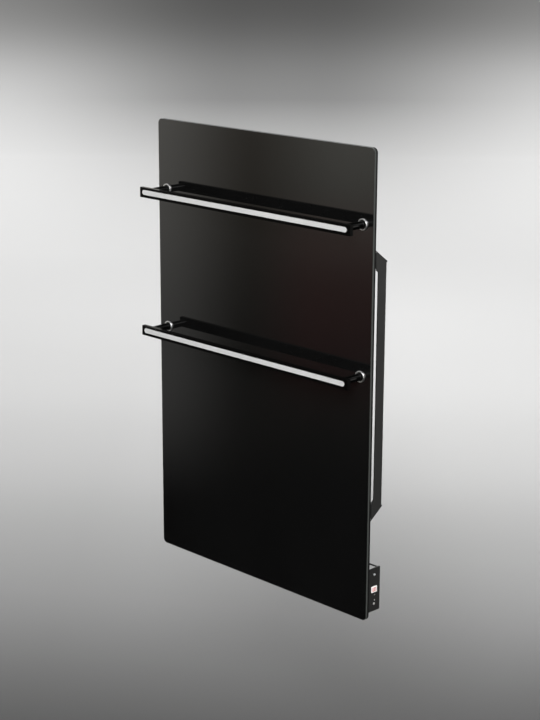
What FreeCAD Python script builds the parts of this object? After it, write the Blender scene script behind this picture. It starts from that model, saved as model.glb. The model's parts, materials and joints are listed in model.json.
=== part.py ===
"""Wall-hung infrared glass heater with two towel rails.

Frame: +Z up, the glass faces -Y, the wall is the plane y = 0.
The origin is the centre of the four keyholes, on the wall plane.
"""
import FreeCAD, Part
import math
import os

# Glass panel
panel_width = 600.0
panel_height = 930.0
corner_radius = 10.0
pane_thickness = 4.0
film_thickness = 0.6
edge_round = 0.8
border_width = 39.0
seal_setback = 1.0

# Heating layer between the panes
film_gap = 1.0
busbar_width = 10.0
lead_diameter = 2.4
lead_hole_diameter = 6.0
lead_offset = 8.0
lead_hole_clearance = 0.2
film_lead_gap = 4.8
film_lead_bend = 4.0

# Towel bars
upper_bar_over_bracket = 45.3
bar_pitch = 292.5
bar_end_margin = 6.0
bar_height = 21.0
bar_thickness = 9.0
bar_reach = 57.5
bar_edge_round = 0.8
inlay_height = 10.0
inlay_rise = 0.5
inlay_end_margin = 8.0
inlay_depth = 1.6
inlay_proud = 0.2
inlay_clearance = 0.05

# Arms, rings and their fixings
arm_diameter = 14.4
arm_end_margin = 20.0
arm_rise = 1.8
ring_width = 2.6
ring_thickness = 3.0
ring_round = 1.2
ring_inner_round = 0.8
ring_clearance = 0.1
gasket_thickness = 0.5
collar_wall = 1.5
collar_height = 1.8
collar_clearance = 0.05
bush_diameter = 10.0
bush_clearance = 0.2
arm_bolt_diameter = 6.0
arm_bolt_grip = 14.0
arm_bolt_head_diameter = 11.0
arm_bolt_head_height = 4.0
socket_across_flats = 4.0
socket_depth = 2.0
rear_gasket_thickness = 1.0
washer_thickness = 1.6
washer_diameter = 18.0
rail_screw_diameter = 4.0
rail_screw_head_diameter = 7.2
rail_screw_grip = 14.0
thread_clearance = 0.05
screw_tip_room = 3.0

# Wall brackets
bracket_depth = 33.0
bracket_height = 533.0
bracket_rise = 2.2
hang_height = 470.0
side_inset = 1.0
bracket_sheet = 2.0
bend_radius = 3.0
leg_height = 36.3
leg_slant = 23.5
strip_depth = 24.2
web_corner_radius = 3.0
flange_width = 20.0
flange_end_room = 4.5
foot_width = 36.0
bend_relief = 1.5
pad_thickness = 1.0
keyhole_spacing = 400.0
keyhole_diameter = 10.0
keyhole_slot = 5.5
keyhole_rise = 9.0

# Control housing
housing_width = 166.0
housing_sheet = 1.2
housing_bend = 2.0
housing_back_room = 3.8
lip_width = 10.0
end_plate_thickness = 2.0
end_plate_bottom = 14.8
end_plate_height = 90.7
end_plate_round = 2.0
end_plate_edge = 0.6
end_plate_gap = 0.6
end_plate_wall_gap = 0.8
control_rise = 1.0
tray_setback = 0.8
tie_bar_height = 2.8
tie_bar_thickness = 2.0
tie_bar_lip_gap = 0.3
cover_sheet = 1.0
cover_drop = 14.5
cover_margin = 1.0
cover_screw_inset = 30.0
vent_length = 16.0
vent_width = 3.0
vent_pitch = 14.0
vent_count = 8
vent_row_gap = 8.0
small_screw_diameter = 3.0
small_screw_length = 8.0
small_screw_head_diameter = 5.2
small_screw_head_height = 2.0
cover_screw_length = 5.0
cover_screw_head_height = 1.6
lug_height = 7.0
lug_gap = 0.4
lug_reach = 5.0
inlet_diameter = 8.0
grommet_waist = 12.0
grommet_diameter = 16.0
grommet_lip = 1.5
grommet_clearance = 0.1
inlet_from_end = 60.0

# Rocker switch
switch_from_wall = 18.5
switch_side_wall = 1.1
switch_end_wall = 0.55
bezel_side_overhang = 0.9
bezel_end_overhang = 1.1
bezel_thickness = 1.6
bezel_round = 0.8
bezel_edge_round = 0.4
switch_body_depth = 15.0
switch_fit = 0.1
snap_reach = 1.0
snap_length = 4.0
snap_width = 6.0
snap_gap = 0.2
rocker_radius = 5.7
rocker_width = 8.2
rocker_side_gap = 0.2
rocker_end_gap = 0.25
rocker_swing = 10.0
rocker_crown = 2.9
rocker_underside = 1.5
rocker_edge_round = 0.3
well_room = 1.5
pivot_depth = 2.6
trunnion_diameter = 2.4
trunnion_end_room = 0.2
trunnion_clearance = 0.05
tab_width = 4.8
tab_thickness = 0.8
tab_length = 8.0
tab_pitch = 6.0
switch_lead_straight = 4.0

# Terminal block and limiter
block_length = 18.0
block_height = 17.6
block_drop = 2.7
block_depth = 14.0
block_round = 1.0
pole_pitch = 5.5
pole_inset = 3.5
block_screw_diameter = 2.0
block_screw_length = 9.0
block_screw_head_diameter = 3.0
block_screw_head_height = 0.8
block_screw_pitch = 11.2
block_screw_shift = 2.0
pole_screw_diameter = 3.4
pole_screw_depth = 3.0
pole_screw_slot = 0.6
limiter_diameter = 17.0
limiter_flange = 2.0
limiter_body_diameter = 15.0
limiter_height = 8.0
limiter_from_end = 40.0
limiter_tab_length = 6.0
limiter_tab_pitch = 7.5

# Levels that follow from the sizes above
half_width = panel_width / 2
panel_bottom = -hang_height
panel_top = panel_bottom + panel_height
pane_back = -bracket_depth
film_back = pane_back - pane_thickness
film_front = film_back - film_thickness
glass_front = film_front - pane_thickness
upper_bar_z = bracket_rise + bracket_height / 2 + upper_bar_over_bracket
lower_bar_z = upper_bar_z - bar_pitch
bar_front = glass_front - bar_reach
bar_back = bar_front + bar_thickness
bar_half_length = half_width - bar_end_margin
arm_x = bar_half_length - arm_end_margin
arm_end = glass_front - gasket_thickness
collar_bore = arm_diameter + 2 * collar_clearance
gasket_diameter = collar_bore + 2 * collar_wall
ring_bore = gasket_diameter + 2 * ring_clearance
ring_diameter = ring_bore + 2 * ring_width
seal_inner_x = half_width - border_width
busbar_outer_x = seal_inner_x - film_gap
film_half_width = busbar_outer_x - busbar_width
film_top = panel_top - border_width - film_gap
side_x = half_width - side_inset
foot_front = pane_back + pad_thickness
leg_slope = leg_slant / -foot_front
plate_inner_x = side_x - end_plate_thickness
plate_bottom_z = panel_bottom + end_plate_bottom
plate_top_z = plate_bottom_z + end_plate_height
control_z = (plate_bottom_z + plate_top_z) / 2 + control_rise
tray_left_x = plate_inner_x - housing_width
tray_bottom_z = plate_bottom_z + tray_setback
tray_back = -housing_back_room
tie_bar_back = tray_back - housing_sheet - tie_bar_lip_gap
cover_top_z = plate_top_z - cover_drop
switch_y = -switch_from_wall
switch_body_height = rocker_width + 2 * (rocker_side_gap + switch_side_wall)
switch_body_length = 2 * (rocker_radius + rocker_end_gap + switch_end_wall)
switch_height = switch_body_height + 2 * bezel_side_overhang
switch_length = switch_body_length + 2 * bezel_end_overhang
bezel_face_x = side_x + bezel_thickness
pivot_x = bezel_face_x - pivot_depth
switch_back_x = side_x - switch_body_depth
block_left_x = plate_inner_x - block_depth
block_mid_z = control_z - switch_height / 2 - block_drop - block_height / 2
end_screw_offset = control_z - block_mid_z + block_height / 2 + lug_gap + lug_height / 2
lead_z = block_mid_z - pole_pitch


def vec(x, y, z):
    return FreeCAD.Vector(x, y, z)


def block(x_range, y_range, z_range):
    """A box between two values on each axis."""
    size = [high - low for low, high in (x_range, y_range, z_range)]
    return Part.makeBox(*size, vec(x_range[0], y_range[0], z_range[0]))


def rod(diameter, start, end):
    """A round bar between two points."""
    along = end - start
    return Part.makeCylinder(diameter / 2, along.Length, start, along)


def corner_arc(before, corner, after, radius):
    """Start, middle and end of the arc that rounds a corner between two other points."""
    to_last = (before - corner).normalize()
    to_next = (after - corner).normalize()
    half_angle = to_last.getAngle(to_next) / 2
    reach = radius / math.tan(half_angle)
    inward = (to_last + to_next).normalize()
    middle = corner + inward * (radius / math.sin(half_angle) - radius)
    return corner + to_last * reach, middle, corner + to_next * reach


def rounded_face(points, radii):
    """A flat face on a polygon whose corners are rounded, each by its own radius (0 keeps it sharp)."""
    runs = []
    for i, corner in enumerate(points):
        if radii[i] > 0:
            runs.append(corner_arc(points[i - 1], corner, points[(i + 1) % len(points)], radii[i]))
        else:
            runs.append((corner, None, corner))
    edges = []
    for i, (start, middle, end) in enumerate(runs):
        if middle is not None:
            edges.append(Part.Arc(start, middle, end).toShape())
        following = runs[(i + 1) % len(runs)][0]
        if (following - end).Length > 1e-6:
            edges.append(Part.makeLine(end, following))
    return Part.Face(Part.Wire(edges))


def upright_plate(half_length, z_range, y_range, radius, x_centre=0):
    """A plate in the XZ plane with rounded corners, as thick as y_range."""
    low, high = x_centre - half_length, x_centre + half_length
    corners = [(low, z_range[0]), (high, z_range[0]), (high, z_range[1]), (low, z_range[1])]
    face = rounded_face([vec(x, y_range[0], z) for x, z in corners], [radius] * 4)
    return face.extrude(vec(0, y_range[1] - y_range[0], 0))


def edges_where(shape, test):
    """Edges whose every vertex passes the test."""
    return [edge for edge in shape.Edges if all(test(v.Point) for v in edge.Vertexes)]


def near(a, b):
    return abs(a - b) < 1e-6


def arm_places():
    """Name, x and z of the four arms."""
    for level, bar_z in (("upper", upper_bar_z), ("lower", lower_bar_z)):
        for side, sign in (("left", -1), ("right", 1)):
            yield f"{level}_{side}", sign * arm_x, bar_z + arm_rise


def lead_places():
    """x of the two film leads: the end of the left busbar's cross run, then the right busbar."""
    right = busbar_outer_x - busbar_width / 2
    return right - busbar_width - lead_offset, right


def drill(shape, diameter, y_range):
    """Cut the four arm holes through a layer of the panel."""
    for _, x, z in arm_places():
        shape = shape.cut(rod(diameter, vec(x, y_range[0], z), vec(x, y_range[1], z)))
    return shape


def pane(y_range, outer_face):
    """One glass pane, its outer edge rounded, with the four arm holes."""
    glass = upright_plate(half_width, (panel_bottom, panel_top), y_range, corner_radius)
    rim = edges_where(glass, lambda p: near(p.y, outer_face))
    glass = glass.makeFillet(edge_round, rim)
    return drill(glass, bush_diameter + 2 * bush_clearance, y_range)


def front_glass():
    return pane((glass_front, film_front), glass_front)


def rear_glass():
    glass = pane((film_back, pane_back), pane_back)
    for x in lead_places():
        glass = glass.cut(rod(lead_hole_diameter, vec(x, film_back, lead_z), vec(x, pane_back, lead_z)))
    return glass


def edge_seal():
    """The sealant frame between the panes, round the heating film."""
    layer = (film_front, film_back)
    outline = upright_plate(half_width - seal_setback,
                            (panel_bottom + seal_setback, panel_top - seal_setback),
                            layer, corner_radius - seal_setback)
    inside = block((-seal_inner_x, seal_inner_x), layer, (lead_run_bottom() - film_gap, film_top + film_gap))
    return drill(outline.cut(inside), bush_diameter + 2 * bush_clearance, layer)


def lead_run_bottom():
    """Lower edge of the busbars, below the film."""
    return lead_z - busbar_width / 2


def heating_film():
    bottom = lead_z + busbar_width / 2 + film_gap
    return block((-film_half_width, film_half_width), (film_front, film_back), (bottom, film_top))


def copper_busbars():
    """The left busbar runs on along the bottom to the lead beside the right busbar."""
    layer = (film_front, film_back)
    height = (lead_run_bottom(), film_top)
    right = block((film_half_width, busbar_outer_x), layer, height)
    left = block((-busbar_outer_x, -film_half_width), layer, height)
    run_end = lead_places()[0] + busbar_width / 2
    run = block((-busbar_outer_x, run_end), layer, (lead_run_bottom(), lead_z + busbar_width / 2))
    return [left.fuse(run).removeSplitter(), right]


def lead_plugs():
    """Silicone plugs that close the lead holes round the leads."""
    plugs = []
    for x in lead_places():
        start, end = vec(x, film_back, lead_z), vec(x, pane_back, lead_z)
        plugs.append(rod(lead_hole_diameter, start, end).cut(rod(lead_diameter, start, end)))
    return plugs


def lead(points, radius):
    """A lead along straight runs joined by arcs of one radius."""
    edges = []
    last = points[0]
    for before, corner, after in zip(points, points[1:], points[2:]):
        start, middle, end = corner_arc(before, corner, after, radius)
        edges.append(Part.makeLine(last, start))
        edges.append(Part.Arc(start, middle, end).toShape())
        last = end
    edges.append(Part.makeLine(last, points[-1]))
    return swept_lead(edges, points[0], points[1] - points[0])


def swept_lead(edges, start, direction):
    """The lead's round section carried along joined edges."""
    section = Part.Wire(Part.makeCircle(lead_diameter / 2, start, direction))
    return Part.Wire(edges).makePipeShell([section], True, False)


def film_leads():
    """From each busbar straight out of the glass, then along to the terminal block."""
    leads = []
    offset = (lead_diameter + film_lead_gap) / 2
    for x, y in zip(lead_places(), (switch_y + offset, switch_y - offset)):
        leads.append(lead([vec(x, film_back, lead_z), vec(x, y, lead_z), vec(block_left_x, y, lead_z)],
                          film_lead_bend))
    return leads


def rail_bar(bar_z):
    """A flat bar with a groove for its inlay and countersunk holes for the screws into the arms."""
    bar = block((-bar_half_length, bar_half_length), (bar_front, bar_back),
                (bar_z - bar_height / 2, bar_z + bar_height / 2))
    bar = bar.makeFillet(bar_edge_round, bar.Edges)
    groove_height = inlay_height + 2 * inlay_clearance
    groove_half = bar_half_length - inlay_end_margin + inlay_clearance
    groove_floor = bar_front + inlay_depth
    groove_z = bar_z + inlay_rise
    groove = upright_plate(groove_half, (groove_z - groove_height / 2, groove_z + groove_height / 2),
                           (bar_front - inlay_depth, groove_floor), groove_height / 2)
    bar = bar.cut(groove)
    for sign in (-1, 1):
        x, z = sign * arm_x, bar_z + arm_rise
        bar = bar.cut(countersunk(x, z, groove_floor, bar_back, thread_clearance))
    return bar


def countersunk(x, z, floor_y, end_y, clearance):
    """A countersunk head sunk below floor_y with its shank on to end_y."""
    head, shank = rail_screw_head_diameter / 2 + clearance, rail_screw_diameter / 2 + clearance
    cone = Part.makeCone(head, shank, head - shank, vec(x, floor_y, z), vec(0, 1, 0))
    return cone.fuse(rod(2 * shank, vec(x, floor_y, z), vec(x, end_y, z)))


def inlay(bar_z):
    half = bar_half_length - inlay_end_margin
    middle_z = bar_z + inlay_rise
    return upright_plate(half, (middle_z - inlay_height / 2, middle_z + inlay_height / 2),
                         (bar_front - inlay_proud, bar_front + inlay_depth - inlay_clearance),
                         inlay_height / 2)


def rail_screws():
    floor_y = bar_front + inlay_depth
    return [countersunk(x, z, floor_y, bar_back + rail_screw_grip, 0) for _, x, z in arm_places()]


def arm(x, z):
    """A round arm, tapped at both ends."""
    body = rod(arm_diameter, vec(x, bar_back, z), vec(x, arm_end, z))
    front = rail_screw_diameter + 2 * thread_clearance
    back = arm_bolt_diameter + 2 * thread_clearance
    front_end = bar_back + rail_screw_grip + screw_tip_room
    back_end = arm_end - arm_bolt_grip - screw_tip_room
    body = body.cut(rod(front, vec(x, bar_back, z), vec(x, front_end, z)))
    return body.cut(rod(back, vec(x, back_end, z), vec(x, arm_end, z)))


def washer(x, z, outer, inner, y_range):
    start, end = vec(x, y_range[0], z), vec(x, y_range[1], z)
    return rod(outer, start, end).cut(rod(inner, start, end))


def ring(x, z):
    """A narrow chrome ring on the glass, round the gasket's collar, with both front rims rounded."""
    front = glass_front - ring_thickness
    body = washer(x, z, ring_diameter, ring_bore, (front, glass_front))
    for diameter, radius in ((ring_diameter, ring_round), (ring_bore, ring_inner_round)):
        rim = [e for e in body.Edges if near(e.BoundBox.YMin, front) and near(e.BoundBox.YMax, front)
               and near(e.BoundBox.XLength, diameter)]
        body = body.makeFillet(radius, rim)
    return body


def bolt_bore():
    return arm_bolt_diameter + 2 * thread_clearance


def front_gaskets():
    """Rubber seats between arm and glass, each with a collar round the arm's end."""
    gaskets = []
    for _, x, z in arm_places():
        seat = washer(x, z, gasket_diameter, bolt_bore(), (arm_end, glass_front))
        collar = washer(x, z, gasket_diameter, collar_bore, (glass_front - collar_height, arm_end))
        gaskets.append(seat.fuse(collar).removeSplitter())
    return gaskets


def glass_bushes():
    return [washer(x, z, bush_diameter, bolt_bore(), (glass_front, pane_back)) for _, x, z in arm_places()]


def rear_gaskets():
    layer = (pane_back, pane_back + rear_gasket_thickness)
    return [washer(x, z, washer_diameter, bolt_bore(), layer) for _, x, z in arm_places()]


def rear_washers():
    front = pane_back + rear_gasket_thickness
    layer = (front, front + washer_thickness)
    return [washer(x, z, washer_diameter, bolt_bore(), layer) for _, x, z in arm_places()]


def arm_bolts():
    """Bolts from behind the glass into the arms, with a hexagon socket in each head."""
    head_front = pane_back + rear_gasket_thickness + washer_thickness
    head_back = head_front + arm_bolt_head_height
    bolts = []
    for _, x, z in arm_places():
        shank = rod(arm_bolt_diameter, vec(x, arm_end - arm_bolt_grip, z), vec(x, head_front, z))
        head = rod(arm_bolt_head_diameter, vec(x, head_front, z), vec(x, head_back, z))
        socket = hexagon(x, z, head_back, socket_across_flats, socket_depth)
        bolts.append(shank.fuse(head).cut(socket))
    return bolts


def hexagon(x, z, back_y, across_flats, depth):
    """A hexagonal prism that ends at back_y."""
    radius = across_flats / math.sqrt(3)
    angles = [math.radians(60 * i) for i in range(6)]
    corners = [vec(x + radius * math.cos(a), back_y - depth, z + radius * math.sin(a)) for a in angles]
    return rounded_face(corners, [0] * 6).extrude(vec(0, depth, 0))


def bent_edge(corner_y, inward, width, reach, z_range):
    """An L-section strip: a flange of the given width in from the side plate, bent at corner_y.

    inward is the direction along Y from the flange's outer face into the bracket.
    """
    outer, inner = side_x, side_x - bracket_sheet
    flange_inner = corner_y + inward * bracket_sheet
    points = [(outer - width, corner_y), (outer, corner_y), (outer, corner_y + inward * reach),
              (inner, corner_y + inward * reach), (inner, flange_inner), (outer - width, flange_inner)]
    radii = [0, bend_radius, 0, 0, bend_radius - bracket_sheet, 0]
    face = rounded_face([vec(x, y, z_range[0]) for x, y in points], radii)
    return face.extrude(vec(0, 0, z_range[1] - z_range[0]))


def side_plate():
    """The bracket's flat side: a C with slanted ends, open towards the glass."""
    outer_front, outer_back = bracket_height / 2, bracket_height / 2 - leg_slant
    inner_front = outer_front - leg_height
    window_back = -strip_depth
    inner_back = inner_front - leg_slope * (window_back - foot_front)
    half = [(foot_front, outer_front), (foot_front, inner_front), (window_back, inner_back)]
    outline = [(0, -outer_back), (0, outer_back)] + half
    outline += [(y, -z) for y, z in reversed(half)]
    radii = [web_corner_radius, web_corner_radius, 0, 0, web_corner_radius, web_corner_radius, 0, 0]
    face = rounded_face([vec(side_x - bracket_sheet, y, z) for y, z in outline], radii)
    return face.extrude(vec(bracket_sheet, 0, 0))


def foot_range():
    """Lower and upper edge of the upper foot from the bracket's middle; the lower foot mirrors it."""
    outer = bracket_height / 2
    drop = leg_slope * (bend_radius + bend_relief)
    return outer - leg_height + bend_relief, outer - drop - bend_relief


def wall_bracket():
    """The right bracket: side plate, wall flange with two keyholes, and two feet on the glass."""
    plate = side_plate()
    across = (side_x - bracket_sheet, side_x)
    overlap = bend_radius + bend_relief
    flange_half = bracket_height / 2 - leg_slant - flange_end_room
    relief_half = flange_half + bend_relief
    plate = plate.cut(block(across, (-bend_radius, 0), (-relief_half, relief_half)))
    strips = [bent_edge(0, -1, flange_width, overlap, (-flange_half, flange_half))]
    low, high = foot_range()
    for z_range in ((low, high), (-high, -low)):
        cut_range = (z_range[0] - bend_relief, z_range[1] + bend_relief)
        plate = plate.cut(block(across, (foot_front, foot_front + bend_radius), cut_range))
        strips.append(bent_edge(foot_front, 1, foot_width, overlap, z_range))
    bracket = plate.multiFuse(strips).removeSplitter()
    bracket.translate(vec(0, 0, bracket_rise))
    for sign in (-1, 1):
        bracket = bracket.cut(keyhole(sign * keyhole_spacing / 2))
    return bracket


def keyhole_x():
    """Middle of the flat of the wall flange."""
    return side_x - (flange_width + bend_radius) / 2


def keyhole(z):
    """A round entry for the screw's head, with a slot above it for the shank."""
    x, top_z = keyhole_x(), z + keyhole_rise
    entry = rod(keyhole_diameter, vec(x, -bracket_sheet, z), vec(x, 0, z))
    slot = block((x - keyhole_slot / 2, x + keyhole_slot / 2), (-bracket_sheet, 0), (z, top_z))
    slot_end = rod(keyhole_slot, vec(x, -bracket_sheet, top_z), vec(x, 0, top_z))
    return entry.multiFuse([slot, slot_end])


def mirrored(shape):
    return shape.mirror(vec(0, 0, 0), vec(1, 0, 0))


def bracket_pads():
    """Adhesive pads between the bracket feet and the rear pane."""
    low, high = foot_range()
    pads = []
    for z_range in ((low, high), (-high, -low)):
        pad = block((side_x - foot_width, side_x - bend_radius), (pane_back, foot_front), z_range)
        pad.translate(vec(0, 0, bracket_rise))
        pads += [pad, mirrored(pad)]
    return pads


def control_housing():
    """A folded tray, open at the top, the back and the right-hand end."""
    outside = ((tray_left_x, plate_inner_x), (foot_front, tray_back), (tray_bottom_z, plate_top_z))
    inside = [(low + housing_sheet, high + housing_sheet) for low, high in outside]
    tray = block(*outside)
    folds = edges_where(tray, lambda p: sum(near(v, r[0]) for v, r in zip(p, outside)) >= 2)
    tray = tray.makeFillet(housing_bend, folds)
    hollow = block(*inside)
    inner_folds = edges_where(hollow, lambda p: sum(near(v, r[0]) for v, r in zip(p, inside)) >= 2)
    tray = tray.cut(hollow.makeFillet(housing_bend - housing_sheet, inner_folds))
    lip_y = (tray_back - housing_sheet, tray_back)
    left_lip = block((tray_left_x, tray_left_x + lip_width), lip_y,
                     (tray_bottom_z + lip_width + bend_relief, plate_top_z))
    low_lip = block((tray_left_x + lip_width + bend_relief, plate_inner_x), lip_y,
                    (tray_bottom_z, tray_bottom_z + lip_width))
    lugs = [lug(z) for z in end_screw_heights()]
    tray = tray.multiFuse([left_lip, low_lip] + lugs).removeSplitter()
    for x in lead_places():
        hole = lead_hole_diameter + 2 * lead_hole_clearance
        tray = tray.cut(rod(hole, vec(x, foot_front, lead_z), vec(x, foot_front + housing_sheet, lead_z)))
    for x, z in cover_screw_places():
        tray = tray.cut(rod(small_screw_diameter + 2 * thread_clearance,
                            vec(x, tray_back - housing_sheet, z), vec(x, tray_back, z)))
    waist = grommet_waist + 2 * grommet_clearance
    return tray.cut(rod(waist, vec(inlet_x(), switch_y, tray_bottom_z),
                        vec(inlet_x(), switch_y, tray_bottom_z + housing_sheet)))


def inlet_x():
    return tray_left_x + inlet_from_end


def end_screw_heights():
    return control_z - end_screw_offset, control_z + end_screw_offset


def lug(z):
    """A tab behind the end plate that takes one of its screws."""
    across = (plate_inner_x - housing_sheet, plate_inner_x)
    tab = block(across, (foot_front, switch_y + lug_reach), (z - lug_height / 2, z + lug_height / 2))
    hole = rod(small_screw_diameter + 2 * thread_clearance, vec(across[0], switch_y, z),
               vec(across[1], switch_y, z))
    return tab.cut(hole)


def cover_screw_places():
    """x and z of the rear cover's screws: two on the lower lip and one on the left lip."""
    low = tray_bottom_z + lip_width / 2 + cover_margin
    left = tray_left_x + lip_width / 2 + cover_margin
    return ((tray_left_x + cover_screw_inset, low), (plate_inner_x - cover_screw_inset, low),
            (left, cover_top_z - lip_width))


def rear_cover():
    """The flat cover behind the controls, with two rows of vents."""
    left, right = tray_left_x + cover_margin, plate_inner_x - cover_margin
    layer = (tray_back, tray_back + cover_sheet)
    low = tray_bottom_z + cover_margin
    cover = upright_plate((right - left) / 2, (low, cover_top_z), layer, housing_bend, (left + right) / 2)
    middle_x = (left + right) / 2
    first_x = middle_x - vent_pitch * (vent_count - 1) / 2
    middle_z = (low + cover_top_z) / 2
    vents = []
    for row in (-1, 1):
        z = middle_z + row * (vent_length + vent_row_gap) / 2
        for i in range(vent_count):
            vents.append(upright_plate(vent_width / 2, (z - vent_length / 2, z + vent_length / 2), layer,
                                       vent_width / 2, first_x + i * vent_pitch))
    for x, z in cover_screw_places():
        vents.append(rod(small_screw_diameter + 2 * thread_clearance,
                         vec(x, layer[0], z), vec(x, layer[1], z)))
    return cover.cut(vents)


def pan_screw(seat, out, diameter, length, head_diameter, head_height):
    """A pan-head screw: the head stands on seat, along out, and the shank goes the other way."""
    head = rod(head_diameter, seat, seat + out * head_height)
    top = [e for e in head.Edges if e.Length > head_diameter and
           near((e.CenterOfMass - seat).dot(out), head_height)]
    head = head.makeFillet(head_height / 2, top)
    return head.fuse(rod(diameter, seat - out * length, seat))


def rear_cover_screws():
    seat_y = tray_back + cover_sheet
    return [pan_screw(vec(x, seat_y, z), vec(0, 1, 0), small_screw_diameter, cover_screw_length,
                      small_screw_head_diameter, cover_screw_head_height) for x, z in cover_screw_places()]


def housing_pads():
    """Adhesive strips between the tray and the rear pane, above and below the lead holes."""
    across = (tray_left_x + lip_width, plate_inner_x - lip_width)
    layer = (pane_back, foot_front)
    low = (tray_bottom_z + housing_bend, lead_z - lead_hole_diameter)
    high = (lead_z + lead_hole_diameter, plate_top_z - lip_width)
    return [block(across, layer, z_range) for z_range in (low, high)]


def end_plate():
    """The plate that closes the right-hand end, with the switch's cut-out and screw holes."""
    front, back = pane_back + end_plate_gap, -end_plate_wall_gap
    corners = [(front, plate_bottom_z), (back, plate_bottom_z), (back, plate_top_z), (front, plate_top_z)]
    face = rounded_face([vec(plate_inner_x, y, z) for y, z in corners], [end_plate_round] * 4)
    plate = face.extrude(vec(end_plate_thickness, 0, 0))
    plate = plate.makeFillet(end_plate_edge, edges_where(plate, lambda p: near(p.x, side_x)))
    across = (plate_inner_x, side_x)
    half_length = switch_body_length / 2 + switch_fit
    half_height = switch_body_height / 2 + switch_fit
    plate = plate.cut(block(across, (switch_y - half_length, switch_y + half_length),
                            (control_z - half_height, control_z + half_height)))
    holes = [(small_screw_diameter, switch_y, z) for z in end_screw_heights()]
    holes += [(block_screw_diameter, block_screw_y(), z) for z in block_screw_heights()]
    for diameter, y, z in holes:
        plate = plate.cut(rod(diameter + 2 * thread_clearance, vec(across[0], y, z), vec(across[1], y, z)))
    return plate


def end_plate_screws():
    return [pan_screw(vec(side_x, switch_y, z), vec(1, 0, 0), small_screw_diameter, small_screw_length,
                      small_screw_head_diameter, small_screw_head_height) for z in end_screw_heights()]


def tie_bar():
    """A thin flat bar between the ends of the housing, along its open top."""
    return block((tray_left_x + housing_sheet, plate_inner_x),
                 (tie_bar_back - tie_bar_thickness, tie_bar_back),
                 (plate_top_z - tie_bar_height, plate_top_z))


def cable_grommet():
    """The rubber grommet of the mains inlet, in the tray's floor."""
    x, y = inlet_x(), switch_y
    levels = (tray_bottom_z - grommet_lip, tray_bottom_z,
              tray_bottom_z + housing_sheet, tray_bottom_z + housing_sheet + grommet_lip)
    lips = [rod(grommet_diameter, vec(x, y, a), vec(x, y, b)) for a, b in (levels[:2], levels[2:])]
    waist = rod(grommet_waist, vec(x, y, levels[0]), vec(x, y, levels[3]))
    body = waist.multiFuse(lips).removeSplitter()
    return body.cut(rod(inlet_diameter, vec(x, y, levels[0]), vec(x, y, levels[3])))


def switch_body():
    """Frame and body of the switch in one moulding, with a well for the rocker and two bearing holes."""
    def across(length, height, x_range, radius):
        y, z = length / 2, height / 2
        corners = [(-y, -z), (y, -z), (y, z), (-y, z)]
        points = [vec(x_range[0], switch_y + a, control_z + b) for a, b in corners]
        face = rounded_face(points, [radius] * 4)
        return face.extrude(vec(x_range[1] - x_range[0], 0, 0))

    frame = across(switch_length, switch_height, (side_x, bezel_face_x), bezel_round)
    frame = frame.makeFillet(bezel_edge_round, edges_where(frame, lambda p: near(p.x, bezel_face_x)))
    body = across(switch_body_length, switch_body_height, (switch_back_x, side_x), bezel_round)
    well_floor = pivot_x - rocker_underside - well_room
    well = across(2 * (rocker_radius + rocker_end_gap), rocker_width + 2 * rocker_side_gap,
                  (well_floor, bezel_face_x), 0)
    bearing = rod(trunnion_diameter + 2 * trunnion_clearance,
                  vec(pivot_x, switch_y, control_z - switch_body_height / 2),
                  vec(pivot_x, switch_y, control_z + switch_body_height / 2))
    return body.multiFuse([frame] + snap_lugs()).removeSplitter().cut([well, bearing])


def snap_lugs():
    """Two wedges, above and below the switch body, that catch behind the end plate."""
    lugs = []
    catch_x = plate_inner_x - snap_gap
    for sign in (-1, 1):
        side_z = control_z + sign * switch_body_height / 2
        profile = [(catch_x, side_z), (catch_x, side_z + sign * snap_reach), (catch_x - snap_length, side_z)]
        face = rounded_face([vec(x, switch_y - snap_width / 2, z) for x, z in profile], [0] * 3)
        lugs.append(face.extrude(vec(0, snap_width, 0)))
    return lugs


def switch_rocker():
    """The rocker at its off stop: a V-topped bar with ends round about its pivot, and two trunnions."""
    tilt = math.tan(math.radians(rocker_swing))
    a, b, c = 1 + tilt ** 2, 2 * tilt * rocker_crown, rocker_crown ** 2 - rocker_radius ** 2
    top_y = (-b + math.sqrt(b ** 2 - 4 * a * c)) / (2 * a)
    top_x = rocker_crown + tilt * top_y
    low_y = math.sqrt(rocker_radius ** 2 - rocker_underside ** 2)
    z = control_z - rocker_width / 2

    def at(x, y):
        return vec(pivot_x + x, switch_y + y, z)

    ends = [Part.Arc(at(-rocker_underside, s * low_y), at(0, s * rocker_radius), at(top_x, s * top_y))
            for s in (-1, 1)]
    lines = [(at(top_x, -top_y), at(rocker_crown, 0)), (at(rocker_crown, 0), at(top_x, top_y)),
             (at(-rocker_underside, low_y), at(-rocker_underside, -low_y))]
    edges = [arc.toShape() for arc in ends] + [Part.makeLine(*line) for line in lines]
    wire = Part.Wire(Part.__sortEdges__(edges))
    bar = Part.Face(wire).extrude(vec(0, 0, rocker_width))
    crown_edges = edges_where(bar, lambda p: p.x > pivot_x)
    bar = bar.makeFillet(rocker_edge_round, crown_edges)
    reach = switch_body_height / 2 - trunnion_end_room
    pin = rod(trunnion_diameter, vec(pivot_x, switch_y, control_z - reach),
              vec(pivot_x, switch_y, control_z + reach))
    rocker = bar.fuse(pin).removeSplitter()
    rocker.rotate(vec(pivot_x, switch_y, control_z), vec(0, 0, 1), rocker_swing)
    return rocker


def tab_places():
    return switch_y - tab_pitch / 2, switch_y + tab_pitch / 2


def switch_tabs():
    """Two blade tabs on the back of the switch."""
    across = (switch_back_x - tab_length, switch_back_x)
    return [block(across, (y - tab_thickness / 2, y + tab_thickness / 2),
                  (control_z - tab_width / 2, control_z + tab_width / 2)) for y in tab_places()]


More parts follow.
